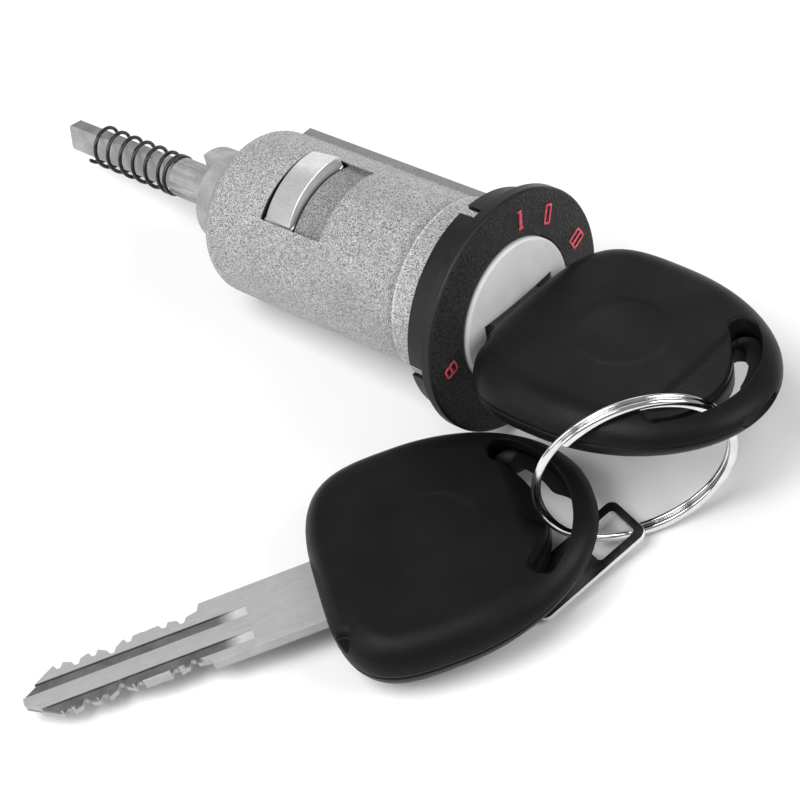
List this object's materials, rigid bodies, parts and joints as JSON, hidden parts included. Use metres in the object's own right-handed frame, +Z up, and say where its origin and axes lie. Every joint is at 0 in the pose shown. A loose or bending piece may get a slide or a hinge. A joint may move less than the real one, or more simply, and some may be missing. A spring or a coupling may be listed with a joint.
{
  "type": "ignition lock cylinder",
  "caption": "Vehicle ignition lock cylinder with a key in its turning plug, a flat driving tail with a spring, a sprung pawl and a spare key linked by a split ring",
  "frame": {"origin": "on the lock's axis, in the plane of the bezel flange's rear seat face", "axes": "+X out of the keyhole along the lock's axis, +Z up as it lies in the picture, +Y to the right when facing the keyhole's back"},
  "size_m": [0.1477, 0.1102, 0.0428],
  "materials": {
    "zinc": "matt, sand-textured zinc die casting",
    "black_plastic": "grained black moulding",
    "satin_grey": "satin light grey",
    "plug_metal": "plain cast barrel",
    "bright_steel": "bright plated steel",
    "dark_spring": "black oxide spring wire",
    "wafer_brass": "stamped brass",
    "key_plastic": "fine-grained black moulding",
    "chromed_wire": "bright polished wire",
    "dark_sheet": "dark coated sheet with bare edges"
  },
  "bodies": {
    "lock_body": {"housing": "zinc", "bezel": "black_plastic", "pawl_spring": "bright_steel"},
    "plug_body": {"face_disc": "satin_grey", "plug": "plug_metal", "plug_retainer": "bright_steel", "tail_driver": "zinc", "tail_spring": "dark_spring", "wafer_1": "wafer_brass", "wafer_2": "wafer_brass", "wafer_3": "wafer_brass", "wafer_4": "wafer_brass", "wafer_5": "wafer_brass", "wafer_6": "wafer_brass", "wafer_7": "wafer_brass", "wafer_8": "wafer_brass", "wafer_springs": "bright_steel"},
    "pawl_body": {"pawl": "bright_steel"},
    "key_one": {"key_one_blade": "bright_steel", "key_one_upper_shell": "key_plastic", "key_one_lower_shell": "key_plastic"},
    "ring_body": {"split_ring": "chromed_wire"},
    "key_two": {"key_two_blade": "bright_steel", "key_two_upper_shell": "key_plastic", "key_two_lower_shell": "key_plastic"},
    "tag_body": {"tag": "dark_sheet"}
  },
  "joints": [
    {"name": "plug_turn", "type": "hinge", "parent": "lock_body", "child": "plug_body", "pos_m": [0, 0, 0], "axis": [-1, 0, 0], "range_deg": [0, 168]},
    {"name": "key_slide", "type": "slide", "parent": "plug_body", "child": "key_one", "axis": [1, 0, 0], "range_m": [0, 0.052]},
    {"name": "pawl_press", "type": "slide", "parent": "lock_body", "child": "pawl_body", "axis": [0, 0.0785, -0.9969], "range_m": [0, 0.0014], "stiffness_N_per_m": 900, "springref_m": -0.003, "deforming": ["pawl_spring"]},
    {"name": "ring_swing", "type": "hinge", "parent": "key_one", "child": "ring_body", "pos_m": [0.0409, -0.00349, 0.0009], "axis": [-0.2732, -0.4498, 0.8503], "range_deg": [0, 30]},
    {"name": "key_two_swing", "type": "hinge", "parent": "ring_body", "child": "key_two", "pos_m": [0.02413, -0.02369, -0.01399], "axis": [-0.2363, -0.4053, 0.8831], "range_deg": [0, 40]},
    {"name": "tag_swing", "type": "hinge", "parent": "ring_body", "child": "tag_body", "pos_m": [0.03263, -0.01336, -0.00698], "axis": [0.7918, -0.6071, -0.0668], "range_deg": [0, 30]}
  ]
}
